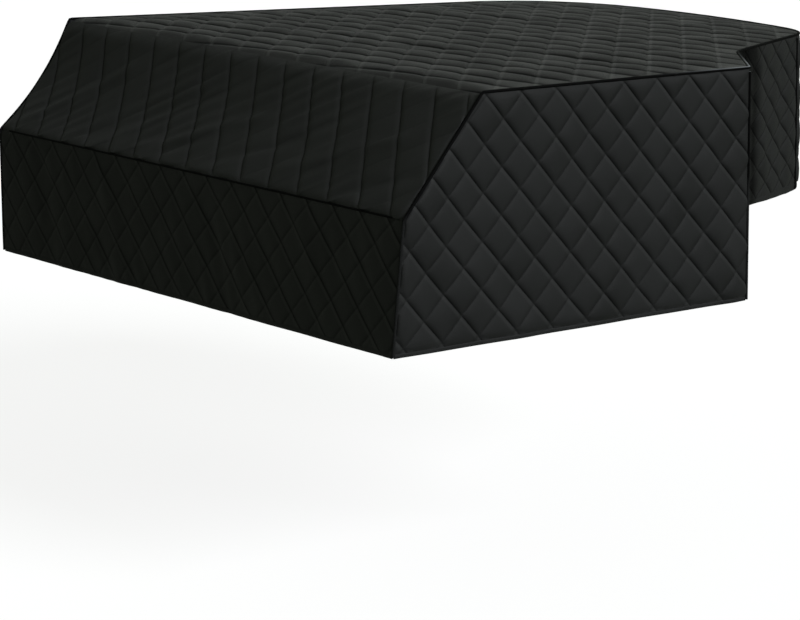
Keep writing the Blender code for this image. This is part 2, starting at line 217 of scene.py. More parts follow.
class Seam:
    """A line of points, read by the distance along it."""

    def __init__(self, points):
        self.points = np.array([tuple(point) for point in points], float)
        steps = np.linalg.norm(np.diff(self.points, axis=0), axis=1)
        self.marks = np.concatenate([[0.0], np.cumsum(steps)])
        self.length = float(self.marks[-1])

    def at(self, distance):
        index = np.clip(np.searchsorted(self.marks, distance) - 1, 0, len(self.points) - 2)
        share = (distance - self.marks[index]) / (self.marks[index + 1] - self.marks[index])
        return self.points[index] + share[..., None] * (self.points[index + 1] - self.points[index])

    def outward(self, distance):
        """The level direction that faces away from the hollow."""
        ahead = self.at(np.minimum(distance + FACING_STEP, self.length))
        along = ahead - self.at(np.maximum(distance - FACING_STEP, 0.0))
        level = np.stack([along[..., 1], -along[..., 0], np.zeros(along.shape[:-1])], axis=-1)
        return level / np.linalg.norm(level, axis=-1, keepdims=True)


def plan(x, depth):
    return Vector((x, FRONT_Y + depth, 0.0))


cheek_back = plan(HALF_WIDTH, CHEEK_DEPTH)
bend = plan(0.495, 1.066)
tail_corner = plan(0.310, 1.445)
before_bend = bend + (cheek_back - bend).normalized() * BEND_REACH
after_bend = bend + (tail_corner - bend).normalized() * BEND_REACH
bending = interpolate_bezier(before_bend, bend, bend, after_bend, BEND_POINTS)
BENTSIDE = Seam([cheek_back, *bending, tail_corner])

shoulder, crown = plan(0.165, 1.540), plan(-0.420, 1.628)
spine_start = plan(-HALF_WIDTH, 1.335)
turn = interpolate_bezier(tail_corner, plan(0.285, 1.495), plan(0.230, 1.522), shoulder, TURN_POINTS)
sweep = interpolate_bezier(shoulder, plan(-0.040, 1.598), plan(-0.240, 1.632), crown, CURVE_POINTS)
back_corner = interpolate_bezier(
    crown, plan(-0.610, 1.624), plan(-HALF_WIDTH, 1.520), spine_start, CURVE_POINTS
)
TAIL = Seam([*turn, *sweep[1:], *back_corner[1:], plan(-HALF_WIDTH, CHEEK_DEPTH)])
SKIRT_LENGTH = BENTSIDE.length + TAIL.length
print("bent side", round(BENTSIDE.length, 3), "tail and spine", round(TAIL.length, 3))

# %% [markdown]
# A quilted panel is stitched while it still lies flat. Its outline is drawn on the cloth, and two
# families of parallel lines are sewn across it, which leaves diamonds of filling. So the mesh starts
# as one flat face too. It is cut along every stitch line, then each diamond is subdivided.

# %% Cut a flat panel along its stitch lines
STITCHING = {
    # panel: two rows of (degrees, pitch, offset, pull, softness)
    "top": ((136.0, 0.0704, 0.0015, 0.35, 0.004), (10.0, 0.0776, 0.0450, 1.00, 0.009)),
    "slope": ((-57.0, 0.0801, 0.0490, 0.90, 0.003), (31.5, 0.0551, 0.0250, 0.14, 0.014)),
    "front": ((-45.0, 0.0592, 0.0333, 0.80, 0.005), (46.5, 0.0613, 0.0200, 0.45, 0.007)),
    "cheek_treble": ((-46.5, 0.0634, 0.0066, 1.00, 0.003), (47.5, 0.0639, 0.0496, 0.60, 0.007)),
    "cheek_bass": ((-45.0, 0.0634, 0.0100, 1.00, 0.003), (45.0, 0.0634, 0.0230, 0.65, 0.006)),
    "bentside": ((-35.0, 0.0536, 0.0344, 1.00, 0.004), (28.0, 0.0536, 0.0372, 0.90, 0.005)),
    "tail": ((-45.0, 0.0625, 0.0180, 1.00, 0.004), (45.0, 0.0625, 0.0400, 0.90, 0.005)),
}
SNAP = 0.0012
PARTS_OF_A_DIAMOND = 10


def across_lines(degrees):
    return np.array((-math.sin(math.radians(degrees)), math.cos(math.radians(degrees))))


def cut_flat(outline, stitching, hem_level=None, folds=()):
    """One flat face in the panel's outline, parted along its stitch lines, its hem and its folds."""
    flat = bmesh.new()
    flat.faces.new([flat.verts.new((u, v, 0.0)) for u, v in outline])
    cuts = []
    for degrees, pitch, offset, _, _ in stitching:
        across = across_lines(degrees)
        reach = [float(across @ point) for point in np.array(outline)]
        first, last = math.ceil((min(reach) - offset) / pitch), math.floor((max(reach) - offset) / pitch)
        normal = Vector((*across, 0.0))
        cuts += [(normal * (line * pitch + offset), normal) for line in range(first, last + 1)]
    if hem_level is not None:
        cuts.append((Vector((0.0, hem_level, 0.0)), Vector((0.0, 1.0, 0.0))))
    cuts += [(Vector((fold, 0.0, 0.0)), Vector((1.0, 0.0, 0.0))) for fold in folds]
    for point, normal in cuts:
        whole = flat.verts[:] + flat.edges[:] + flat.faces[:]
        bmesh.ops.bisect_plane(flat, geom=whole, dist=SNAP, plane_co=point, plane_no=normal)
    many_sided = [face for face in flat.faces if len(face.verts) > 4]
    bmesh.ops.triangulate(flat, faces=many_sided)
    bmesh.ops.subdivide_edges(
        flat, edges=flat.edges[:], cuts=PARTS_OF_A_DIAMOND - 1, use_grid_fill=True
    )
    return flat


def distance_to(points, start, end):
    """How far flat points lie from a straight stretch, and how far along it."""
    start, end = np.array(start, float), np.array(end, float)
    along = end - start
    share = np.clip((points - start) @ along / (along @ along), 0.0, 1.0)
    nearest = start + share[:, None] * along
    return np.linalg.norm(points - nearest, axis=1), share


def soft_step(value):
    value = np.clip(value, 0.0, 1.0)
    return value * value * (3 - 2 * value)


print("stitching of", len(STITCHING), "panels")

# %% [markdown]
# Between the stitch lines the filling stands up. Close to a line the cloth rises steeply, and over
# the middle of a diamond it is nearly flat, so the height follows the distance from the nearest line
# of each family. The mesh points are drawn towards the lines first, to keep the grooves narrow. Two
# more tables paint light and shade into the cloth: the shade painted in each panel's seams, the
# highlight painted beside them and each panel's painted brightness, and places of painted shade, in
# the notch behind the cheek, along the far edge and at the bass end, and of painted light, at the
# treble end and on the lid by the cheek's back corner.

# %% Raise the filling
FILLING = {
    # panel: height of the filling, roundness of a diamond, width over which it dies out at a seam
    "top": (0.0080, 0.45, 0.055),
    "slope": (0.0050, 0.25, 0.005),
    "front": (0.0026, 0.40, 0.006),
    "cheek_treble": (0.0064, 0.42, 0.006),
    "cheek_bass": (0.0064, 0.42, 0.006),
    "bentside": (0.0042, 0.55, 0.006),
    "tail": (0.0055, 0.35, 0.006),
}
HEIGHT_AT_FOLD = 0.35
GATHER = 0.78
PAINT = {
    # panel: painted shade in both families' grooves, painted highlight beside them, painted brightness of the
    # panel
    "top": ((0.25, 2.40), (0.75, 0.00), 0.47),
    "slope": ((0.16, 0.08), (0.10, 0.00), 1.24),
    "front": ((0.85, 0.40), (0.40, 0.15), 1.00),
    "cheek_treble": ((0.52, 0.30), (0.38, 0.00), 0.95),
    "cheek_bass": ((0.52, 0.30), (0.38, 0.00), 0.95),
    "bentside": ((0.90, 0.70), (0.10, 0.10), 0.80),
    "tail": ((0.90, 0.70), (0.30, 0.20), 0.80),
}
PAINTED_SHADE_AND_LIGHT = {
    # panel: u and v of a place of painted shade (or, below zero, of painted light), its half widths, darkness
    "slope": ((WIDTH, 0.14, 0.70, 1.00, -0.12), (0.0, 0.14, 0.50, 1.00, 0.10)),
    "front": ((WIDTH, -0.13, 0.70, 1.00, -0.16), (0.0, -0.13, 0.60, 1.00, 0.16)),
    "bentside": ((0.345, 0.00, 0.075, 0.070, 0.97), (0.412, -0.24, 0.028, 0.34, 0.85)),
    "top": (
        (HALF_WIDTH - 0.010, CHEEK_END_Y, 0.024, 0.14, -1.60),
        (-HALF_WIDTH, 0.30, 0.50, 0.80, 0.14),
        (0.0, 0.84, 0.70, 0.16, 0.15),
    ),
}


def line_numbers(points, stitching):
    """Which stitch lines a flat point lies between, as one running number for each family."""
    return np.stack(
        [(points @ across_lines(row[0]) - row[2]) / row[1] for row in stitching], axis=1
    )


def drawn_to_lines(points, stitching, freedom):
    """Moves the points of the net nearer to the stitch lines, but for those at an edge."""
    number = line_numbers(points, stitching)
    shift = -GATHER * np.sin(2 * np.pi * number) / (2 * np.pi)
    shift *= np.array([row[1] for row in stitching]) * freedom[:, None]
    basis = np.stack([across_lines(row[0]) for row in stitching])
    return points + shift @ np.linalg.inv(basis).T


def filling_height(points, stitching, edge, roundness, softness_at_edge):
    """Height of the filling over the stitched cloth, from 0 to 1."""
    number = line_numbers(points, stitching)
    height = 1 - np.exp(-edge / softness_at_edge)
    for column, (_, pitch, _, pull, crease_width) in enumerate(stitching):
        share = np.abs(number[:, column] - np.round(number[:, column]))
        crease = 1 - pull * np.exp(-share * pitch / crease_width)
        crown = 1 - pull * roundness * (1 - np.sin(np.pi * share))
        height = height * crease * crown
    return height


def painted_shade_and_light_at(points, shades):
    """Painted shade and light at each flat point: 1, but near the places in a table."""
    left = np.ones(len(points))
    for u, v, half_wide, half_high, darkness in shades:
        away = ((points[:, 0] - u) / half_wide) ** 2 + ((points[:, 1] - v) / half_high) ** 2
        left *= 1 - darkness * np.exp(-away)
    return left


print("filling", FILLING["top"][0], "m over the stitched cloth of the lid")

# %% [markdown]
# A cover that has been pulled on by hand is never quite flat. Each panel has a few soft creases,
# written down as stretches on the flat cloth with a width and a height: a ridge where the height is
# above zero, a trough where it is below. They die out at the seams, which hold the cloth.

# %% Lay out the soft creases
CREASES = {
    # panel: (start u, start v, end u, end v, half width, height)
    "top": (
        (-0.50, -0.45, -0.10, -0.25, 0.050, 0.003),
        (0.10, -0.30, 0.55, -0.10, 0.045, -0.003),
        (-0.55, 0.20, -0.15, 0.45, 0.060, 0.003),
    ),
    "slope": (
        (0.10, 0.05, 0.32, 0.20, 0.016, 0.0030),
        (0.34, 0.03, 0.62, 0.17, 0.014, -0.0030),
        (0.52, 0.02, 0.86, 0.15, 0.015, 0.0034),
        (0.78, 0.03, 1.02, 0.12, 0.012, -0.0026),
        (1.02, 0.05, 1.30, 0.16, 0.016, 0.0026),
        (1.22, 0.02, 1.40, 0.09, 0.014, -0.0022),
    ),
    "front": (
        (0.16, -0.05, 0.22, -0.24, 0.030, -0.0030),
        (0.42, -0.04, 0.50, -0.25, 0.026, 0.0028),
        (0.80, -0.05, 0.90, -0.25, 0.030, -0.0032),
        (1.12, -0.03, 1.22, -0.22, 0.026, 0.0028),
    ),
    "cheek_treble": (
        (0.10, -0.30, 0.30, -0.47, 0.040, 0.0028),
        (0.42, -0.06, 0.60, -0.40, 0.050, -0.0030),
        (0.76, -0.18, 0.84, -0.46, 0.030, 0.0030),
    ),
    "cheek_bass": (
        (0.20, -0.10, 0.30, -0.44, 0.045, -0.0030),
        (0.52, -0.12, 0.60, -0.46, 0.040, 0.0030),
    ),
    "bentside": (
        (0.05, -0.04, 0.10, -0.32, 0.025, -0.0030),
        (0.44, -0.05, 0.50, -0.33, 0.030, 0.0030),
        (0.60, -0.08, 0.62, -0.34, 0.025, -0.0026),
    ),
    "tail": (
        (0.30, -0.05, 0.36, -0.33, 0.040, 0.0035),
        (0.78, -0.06, 0.74, -0.33, 0.045, -0.0035),
        (1.30, -0.05, 1.38, -0.33, 0.040, 0.0030),
        (1.90, -0.06, 1.84, -0.32, 0.040, -0.0030),
    ),
}


def creased(points, creases):
    """How far the flat points are pushed out by the creases."""
    pushed = np.zeros(len(points))
    for start_u, start_v, end_u, end_v, half_width, height in creases:
        away, share = distance_to(points, (start_u, start_v), (end_u, end_v))
        wander = 1 + 0.25 * np.sin(9.0 * share + 40.0 * start_u)
        pushed += height * np.exp(-((away / (half_width * wander)) ** 2))
    return pushed


DRAG = {
    # panel: degrees, spacing and height of the small waves that the cloth is dragged into
    "slope": (31.5, 0.034, 0.0010),
    "front": (-62.0, 0.046, 0.0006),
}


def slack(points, name):
    """The slow unevenness of cloth that nothing presses flat, and its small dragged waves."""
    u, v = points.T
    slow = 0.0011 * np.sin(13.1 * u + 7.3 * v) * np.sin(17.9 * v - 5.1 * u + 1.3)
    slow += 0.0006 * np.sin(31.0 * u - 23.0 * v + 0.7)
    if name in DRAG:
        degrees, spacing, height = DRAG[name]
        phase = 2 * np.pi * (points @ across_lines(degrees)) / spacing
        phase += 1.7 * np.sin(5.3 * u + 2.0) + 1.1 * np.sin(19.0 * u - 11.0 * v)
        patchy = soft_step(0.5 + 0.8 * np.sin(8.7 * u - 3.1 * v) * np.sin(14.3 * v + 4.1 * u + 0.4))
        slow += height * np.sin(phase) * patchy
    return slow


print("creases", sum(len(rows) for rows in CREASES.values()))

# %% [markdown]
# The cloth is now hung: every flat point (u, v) goes to its place on a surface in space, and the
# thickness is laid on along that surface's normal. At a fold without a cord both panels lean to the
# direction halfway between them, and dip a little, which makes the fold soft.

# %% Hang a flat panel
HANGING_STEP = 0.003


def unit(vectors):
    return vectors / np.linalg.norm(vectors, axis=-1, keepdims=True)


def hung(points, heights, surface, folded=()):
    """Places of flat points on a surface, each lifted by its height. A fold is (nearness, normal, dip)."""
    u, v = points.T
    along = surface(u + HANGING_STEP, v) - surface(u - HANGING_STEP, v)
    up_the_cloth = surface(u, v + HANGING_STEP) - surface(u, v - HANGING_STEP)
    normal = unit(np.cross(along, up_the_cloth))
    place = surface(u, v)
    for nearness, halfway, dip in folded:
        weight = (nearness(u, v) ** 2)[:, None]
        place = place - weight * np.array(halfway) * dip
        normal = unit(normal * (1 - weight) + np.array(halfway) * weight)
    return place + normal * heights[:, None]


def smooth_mesh(name, shape):
    mesh = bpy.data.meshes.new(name)
    shape.to_mesh(mesh)
    shape.free()
    mesh.polygons.foreach_set("use_smooth", [True] * len(mesh.polygons))
    return placed(name, mesh)


print("hanging step", HANGING_STEP)

# %% [markdown]
# One helper now makes a whole panel: it cuts the flat cloth, gathers the net to the stitch lines,
# gives the cloth a back and a front, raises the filling, hangs both and keeps the flat measures as
# UV maps. The weave, the thread and the shading of the seams are painted by those maps, so they run
# with the cloth and not with the room.

# %% Make a whole panel
HEM_SWELL = 0.0010
SEAM_HOLD = 0.035
FREE_REACH = 0.012
EDGE_ROUNDING = 0.0016
BROW_REACH = 0.030
BROW_DIP = 0.0068
FOLD_PUFF = 0.0060
SHARPEST_SMOOTH = math.radians(55.0)


def nearest_of(points, stretches):
    """How far flat points lie from the nearest of some stretches."""
    return np.min([distance_to(points, *stretch)[0] for stretch in stretches], axis=0)


def make_panel(name, node, outline, surface, hem_level=None, folds=(), folded=(), fold_level=None):
    stitching = STITCHING[name]
    stretches = list(zip(outline, outline[1:] + outline[:1]))
    flat = cut_flat(outline, stitching, hem_level, folds)
    flat.verts.ensure_lookup_table()
    points = np.array([vert.co.xy for vert in flat.verts], float)
    sewn = [stretch for stretch in stretches if not is_hem(stretch, hem_level)]
    corded = [stretch for stretch in sewn if fold_level is None or not is_fold(stretch, fold_level)]
    edge, seam, cord = (nearest_of(points, chosen) for chosen in (stretches, sewn, corded))
    above_hem = np.full(len(points), 1.0) if hem_level is None else points[:, 1] - hem_level
    freedom = soft_step(np.minimum(edge, np.abs(above_hem)) / FREE_REACH)
    points = drawn_to_lines(points, stitching, freedom)

    puff, roundness, softness = FILLING[name]
    filling = filling_height(
        points, stitching, np.minimum(cord, np.maximum(above_hem, 0.0)), roundness, softness
    )
    if fold_level is not None:
        near_fold = soft_step(1 - np.abs(points[:, 1] - fold_level) / BROW_REACH)
        near_cord = 1 - np.exp(-cord / softness)
        filling += (HEIGHT_AT_FOLD * FOLD_PUFF / puff * near_cord - filling) * near_fold
    front = STITCHED + puff * filling
    in_hem = above_hem < -1e-6
    edge_round = np.sqrt(1 - (1 - np.clip(edge / EDGE_ROUNDING, 0.0, 1.0)) ** 2)
    hem_swell = HEM_SWELL * np.sin(np.pi * np.clip(-above_hem / HEM, 0.0, 1.0)) ** 0.5
    front = np.where(in_hem, (STITCHED + hem_swell) * (0.5 + 0.5 * edge_round), front)
    pushed = (creased(points, CREASES[name]) + slack(points, name)) * soft_step(seam / SEAM_HOLD)

    faces = flat.faces[:]
    raised = bmesh.ops.extrude_face_region(flat, geom=faces + flat.edges[:], use_keep_orig=True)
    uppers = [item for item in raised["geom"] if isinstance(item, bmesh.types.BMVert)]
    lower_index = {tuple(vert.co.xy): vert.index for vert in flat.verts if 0 <= vert.index < len(points)}
    sources = np.array([lower_index[tuple(vert.co.xy)] for vert in uppers])
    front_places = hung(points[sources], front[sources] + pushed[sources], surface, folded)
    back_places = hung(points, pushed, surface, folded)
    flat.verts.ensure_lookup_table()
    lowers = flat.verts[: len(points)]
    flat_of = {}
    for vert, place, index in zip(uppers, front_places, sources):
        flat_of[vert] = index
        vert.co = place
    for index, (vert, place) in enumerate(zip(lowers, back_places)):
        flat_of[vert] = index
        vert.co = place
    bmesh.ops.recalc_face_normals(flat, faces=flat.faces[:])
    for cut_edge in flat.edges:
        cut_edge.smooth = cut_edge.calc_face_angle(0.0) < SHARPEST_SMOOTH

    flat.verts.index_update()
    source_of = np.array([flat_of[vert] for vert in flat.verts])
    panel = smooth_mesh(name + "_quilt", flat)
    corner_of = np.zeros(len(panel.data.loops), int)
    panel.data.loops.foreach_get("vertex_index", corner_of)
    border = np.minimum(cord, np.abs(above_hem))
    # The panel's painted brightness stands in for how the light falls on it.
    dark, light, painted_panel_brightness = PAINT[name]
    # Painted shade and painted light at the places in the table.
    painted_place_light = painted_shade_and_light_at(points, PAINTED_SHADE_AND_LIGHT.get(name, ()))
    maps = {
        "Cloth": points,
        "Quilt": line_numbers(points, stitching),
        "Border": np.stack([border, above_hem], axis=1),
        "Dark": np.tile(dark, (len(points), 1)),
        "Light": np.tile(light, (len(points), 1)),
        # Tone: the panel's painted brightness, then the painted shade and light of its places.
        "Tone": np.stack([np.full(len(points), painted_panel_brightness), painted_place_light], axis=1),
    }
    for label, values in maps.items():
        layer = panel.data.uv_layers.new(name=label)
        layer.data.foreach_set("uv", values[source_of[corner_of]].astype(np.float32).ravel())
    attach(panel, "root")
    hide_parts(node)
    panel.data.calc_loop_triangles()
    return panel


def is_hem(stretch, hem_level):
    return hem_level is not None and max(stretch[0][1], stretch[1][1]) < hem_level


def is_fold(stretch, fold_level):
    return abs(stretch[0][1] - fold_level) + abs(stretch[1][1] - fold_level) < 1e-6


# %% [markdown]
# The lid panel is cut to the lid's outline, a little inside the cord that is sewn into the seam all
# round it. Over the keyboard there is no cord: the cloth only folds over the brow. A fold is given as
# how near a flat point is to it, the direction halfway between its two panels, and its dip.

# %% Sew the lid panel
rim_plan = [(HALF_WIDTH, LID_FRONT_Y)]
rim_plan += [tuple(point[:2]) for point in BENTSIDE.points]
rim_plan += [tuple(point[:2]) for point in TAIL.points[1:]]
rim_plan.append((-HALF_WIDTH, LID_FRONT_Y))


def inset_outline(outline, inset):
    """The outline drawn in by a constant width."""
    made = []
    for before, here, after in zip(outline[-1:] + outline[:-1], outline, outline[1:] + outline[:1]):
        before, here, after = Vector(before), Vector(here), Vector(after)
        leaving, arriving = (after - here).normalized(), (here - before).normalized()
        inward = Vector((-leaving.y, leaving.x)) + Vector((-arriving.y, arriving.x))
        made.append(tuple(here + inward * inset / (1 + leaving.dot(arriving))))
    return made


top_outline = inset_outline(rim_plan, SEAM_INSET)
top_outline = [
    (x, LID_FRONT_Y) if abs(y - LID_FRONT_Y) < 2 * SEAM_INSET else (x, y) for x, y in top_outline
]
slope_facing = Vector((0.0, -SLOPE_FALL, SLOPE_RUN)) / SLOPE_HEIGHT
BROW_NORMAL = tuple((slope_facing + Vector((0.0, 0.0, 1.0))).normalized())


def nearness(distance, reach):
    return np.clip(1 - distance / reach, 0.0, 1.0)


brow_of_top = (lambda u, v: nearness(v - LID_FRONT_Y, BROW_REACH), BROW_NORMAL, BROW_DIP)
top = make_panel(
    "top", "top_panel", top_outline, on_lid, folded=[brow_of_top], fold_level=LID_FRONT_Y
)

# %% [markdown]
# The panel over the keyboard hangs in a shallow hollow, which is deepest at the bass end. Along the
# front edge a cord runs nearly from corner to corner. Just short of the corners it stops, and the
# two panels meet in a small smooth facet.

# %% Sew the slope and the front
CORD_STOPS = 0.044
CORD_ENDS = 0.012
FACET_NORMAL = tuple((slope_facing + Vector((0.0, -1.0, 0.0))).normalized())
FACET_REACH = 0.020
FACET_DIP = 0.0030
FRONT_DROP = LONG_DROP - SLOPE_FALL


def mix(start, end, share):
    share = np.asarray(share, float)[..., None]
    return start + (end - start) * share


def slope_place(u, v):
    share = v / SLOPE_HEIGHT
    sag = SLOPE_SAG * (1 - u / WIDTH) * 4 * share * (1 - share)
    lower = mix(CORNER["bass foot"], CORNER["treble foot"], u / WIDTH)
    upper = mix(CORNER["bass brow"], CORNER["treble brow"], u / WIDTH)
    inward = np.array((0.0, SLOPE_FALL, -SLOPE_RUN)) / SLOPE_HEIGHT
    return lower + (upper - lower) * share[..., None] + inward * sag[..., None]


def front_place(u, v):
    lower = mix(CORNER["bass hem"], CORNER["treble hem"], u / WIDTH)
    upper = mix(CORNER["bass foot"], CORNER["treble foot"], u / WIDTH)
    return lower + (upper - lower) * ((v + FRONT_DROP) / FRONT_DROP)[..., None]


def past_cord(u):
    """1 beyond the ends of the front cord, 0 beside it."""
    return soft_step(1 - (np.minimum(u, WIDTH - u) - CORD_STOPS + CORD_ENDS) / CORD_ENDS)


def notched_edge(level):
    """The front seam's edge: drawn back beside the cord, closed beyond its ends."""
    left = [(SEAM_INSET, 0.0), (CORD_STOPS - 0.006, 0.0), (CORD_STOPS + 0.002, level)]
    return left + [(WIDTH - u, v) for u, v in reversed(left)]


slope_outline = notched_edge(FRONT_INSET)
slope_outline += [(WIDTH - SEAM_INSET, SLOPE_HEIGHT), (SEAM_INSET, SLOPE_HEIGHT)]
brow_of_slope = (lambda u, v: nearness(SLOPE_HEIGHT - v, BROW_REACH), BROW_NORMAL, BROW_DIP)
facet_of_slope = (lambda u, v: nearness(v, FACET_REACH) * past_cord(u), FACET_NORMAL, FACET_DIP)
slope = make_panel(
    "slope", "slope_panel", slope_outline, slope_place,
    folded=[brow_of_slope, facet_of_slope], fold_level=SLOPE_HEIGHT,
)

front_outline = [(WIDTH - SEAM_INSET, -FRONT_DROP), *reversed(notched_edge(-FRONT_INSET))]
front_outline.append((SEAM_INSET, -FRONT_DROP))
facet_of_front = (lambda u, v: nearness(-v, FACET_REACH) * past_cord(u), FACET_NORMAL, FACET_DIP)
front = make_panel(
    "front", "front_panel", front_outline, front_place, HEM - FRONT_DROP, folded=[facet_of_front]
)

# %% [markdown]
# The cheeks are the long panels beside the keyboard. Each one has a slanted shoulder, which follows
# the slope panel, and hangs half a metre. The bass shoulder sags with the slope.

# %% Sew the two cheeks
def shoulder_slant(share, sag):
    bow = 4 * sag * (1 - 2 * share) / SLOPE_HEIGHT
    return (SLOPE_FALL - SLOPE_RUN * bow) / (SLOPE_RUN + SLOPE_FALL * bow)


def cheek_outline(toward_tail, sag):
    shares = [SEAM_INSET / SLOPE_RUN] + ([0.25, 0.50, 0.75] if sag else [])
    rising = []
    for share in shares:
        below = SEAM_INSET * math.hypot(1.0, shoulder_slant(share, sag))
        rising.append((SLOPE_RUN * share, -SLOPE_FALL * (1 - share) - below))
    steepest = shoulder_slant(1.0, sag)
    brow = SLOPE_RUN + SEAM_INSET * (math.hypot(1.0, steepest) - 1) / steepest
    points = [
        (SEAM_INSET, -LONG_DROP),
        (CHEEK_DEPTH - SEAM_INSET, -LONG_DROP),
        (CHEEK_DEPTH - SEAM_INSET, -SEAM_INSET),
        (brow, -SEAM_INSET),
        *reversed(rising),
    ]
    return points if toward_tail else [(CHEEK_DEPTH - u, v) for u, v in reversed(points)]


def cheek_place(side, toward_tail):
    slope_edge = WIDTH if side == "treble" else 0.0

    def place(u, v):
        depth = u if toward_tail else CHEEK_DEPTH - u
        on_shoulder = slope_place(np.full(len(u), slope_edge), SLOPE_HEIGHT * depth / SLOPE_RUN)
        on_rim = mix(
            CORNER[side + " brow"], CORNER[side + " cheek"], (depth - SLOPE_RUN) / (CHEEK_DEPTH - SLOPE_RUN)
        )
        upper = np.where((depth < SLOPE_RUN)[:, None], on_shoulder, on_rim)
        lower = mix(CORNER[side + " hem"], CORNER[side + " cheek hem"], depth / CHEEK_DEPTH)
        drop = LONG_DROP - SLOPE_FALL * np.maximum(1 - depth / SLOPE_RUN, 0.0)
        return lower + (upper - lower) * ((v + LONG_DROP) / drop)[:, None]

    return place


cheek_treble = make_panel(
    "cheek_treble", "cheek_treble", cheek_outline(True, 0.0), cheek_place("treble", True),
    HEM - LONG_DROP, [SLOPE_RUN],
)
cheek_bass = make_panel(
    "cheek_bass", "cheek_bass", cheek_outline(False, SLOPE_SAG), cheek_place("bass", False),
    HEM - LONG_DROP, [CHEEK_DEPTH - SLOPE_RUN],
)

# %% [markdown]
# Behind the cheeks the skirt is shorter. One strip covers the bent side, a second goes round the
# tail and along the spine. Their hem swings in and out a little, which the table below gives.

# %% Sew the skirt
SKIRT = (
    # share of the way round, drop, flare
    (0.00, 0.334, 0.000),
    (0.12, 0.338, 0.003),
    (0.27, 0.350, 0.012),
    (0.45, 0.346, 0.006),
    (0.70, 0.342, 0.004),
    (1.00, 0.338, 0.000),
)


def skirt_value(way, column):
    return np.interp(way / SKIRT_LENGTH, [row[0] for row in SKIRT], [row[column] for row in SKIRT])


def skirt_place(seam, start):
    def place(u, v):
        spot = seam.at(u)
        upper = on_lid(spot[..., 0], spot[..., 1])
        way = start + u
        drop = skirt_value(way, 1)
        lower = upper + seam.outward(u) * skirt_value(way, 2)[..., None]
        for side, away in (("treble", way), ("bass", SKIRT_LENGTH - way)):
            back_edge, foot = CORNER[side + " cheek"], CORNER[side + " cheek hem"]
            lean = (foot - back_edge)[:2] / (back_edge[2] - foot[2])
            share = drop * np.maximum(1 - away / LEAN_REACH, 0.0)
            lower[..., :2] += share[..., None] * lean
        lower[..., 2] -= drop
        return lower + (upper - lower) * ((v + drop) / drop)[..., None]

    return place


def skirt_outline(seam, start):
    stations = [row[0] * SKIRT_LENGTH - start for row in SKIRT]
    inner = [u for u in stations if 2 * SEAM_INSET < u < seam.length - 2 * SEAM_INSET]
    hem = [SEAM_INSET, *inner, seam.length - SEAM_INSET]
    outline = [(u, -float(skirt_value(start + u, 1))) for u in hem]
    return outline + [(seam.length - SEAM_INSET, -SEAM_INSET), (SEAM_INSET, -SEAM_INSET)]


def skirt_hem_level(outline):
    levels = [v for _, v in outline[:-2]]
    return (min(levels) + max(levels)) / 2 + HEM


bentside_outline = skirt_outline(BENTSIDE, 0.0)
bentside_panel = make_panel(
    "bentside", "bentside_panel", bentside_outline, skirt_place(BENTSIDE, 0.0),
    skirt_hem_level(bentside_outline),
)
tail_outline = skirt_outline(TAIL, BENTSIDE.length)
tail_panel = make_panel(
    "tail", "tail_panel", tail_outline, skirt_place(TAIL, BENTSIDE.length),
    skirt_hem_level(tail_outline),
)

# %% [markdown]
# A welt cord is a strip of the same cloth wrapped round a thin core and caught in the seam. It is
# made here as a curve with a round section. Its thickness swells and shrinks a very little, where
# the needle has pulled the wrapping tight. The cords at the cheeks and at the front corners turn
# paler low down, and the cords have a painted highlight on their tops where the treble cheek ends,
# so the cord keeps both as a map.

# %% Sew in the welt cords
CORD_STEP = 0.006
CORNER_ROUNDING = 0.006
STRAIGHT = math.radians(12.0)
TIP_LENGTH, TIP_SIZE = 0.007, 0.45
PALER_LOW_CORDS = ("cord_rim", "cord_cheek_treble", "cord_cheek_bass")
PALER_BELOW = (0.215, 0.245)
# Where, how far and how pale the painted highlight on the cords' tops is.
HIGHLIGHT_PLACE = (HALF_WIDTH, CHEEK_END_Y)
HIGHLIGHT_REACH = 0.13
HIGHLIGHT_TONE = (0.26, 0.27, 0.29, 1.0)


def softened(points, reach):
    """The same line with its corners rounded."""
    made = [Vector(points[0])]
    for before, here, after in zip(points, points[1:], points[2:]):
        before, here, after = Vector(before), Vector(here), Vector(after)
        back, ahead = before - here, after - here
        if back.angle(-ahead) < STRAIGHT:
            made.append(here)
            continue
        start = here + back.normalized() * min(reach, back.length / 3)
        end = here + ahead.normalized() * min(reach, ahead.length / 3)
        made += interpolate_bezier(start, here, here, end, 7)
    return [*made, Vector(points[-1])]


